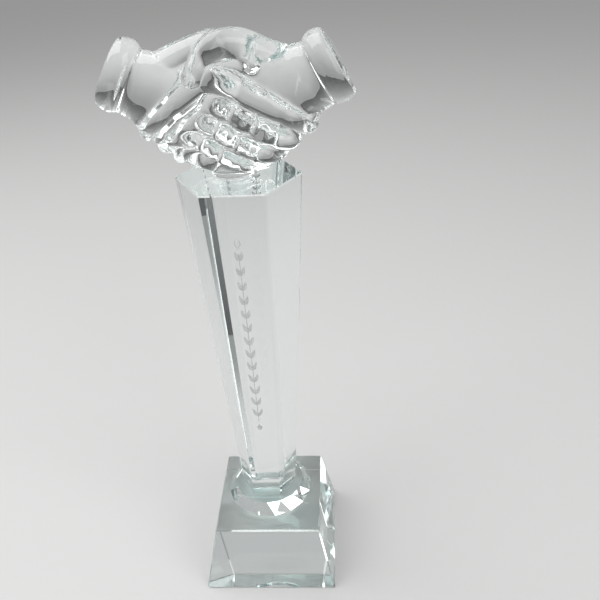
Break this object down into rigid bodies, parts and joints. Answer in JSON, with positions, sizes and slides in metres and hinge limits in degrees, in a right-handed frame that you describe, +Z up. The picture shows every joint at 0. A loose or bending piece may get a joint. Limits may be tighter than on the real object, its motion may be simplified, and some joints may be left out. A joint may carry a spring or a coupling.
{
  "type": "crystal award trophy",
  "caption": "Clear crystal award: square tapered base, faceted round collar, tall six-sided column widening upward, clasped-hands figure on top",
  "frame": {"origin": "centre of the base underside, on the surface the award stands on", "axes": "+Z up along the column, -Y the front face with the ornament, +X to the right seen from the front along the clasped arms"},
  "size_m": [0.1032, 0.0698, 0.2826],
  "materials": {
    "base_crystal": "polished clear optical crystal",
    "collar_crystal": "polished faceted optical crystal",
    "column_crystal": "polished clear optical crystal",
    "figure_crystal": "fire-polished moulded glass",
    "adhesive": "cured clear adhesive film"
  },
  "bodies": {
    "root": {"base_block": "base_crystal", "base_bond": "adhesive", "faceted_collar": "collar_crystal", "collar_bond": "adhesive", "hexagonal_column": "column_crystal", "figure_bond": "adhesive", "handshake_figure": "figure_crystal"}
  },
  "joints": []
}
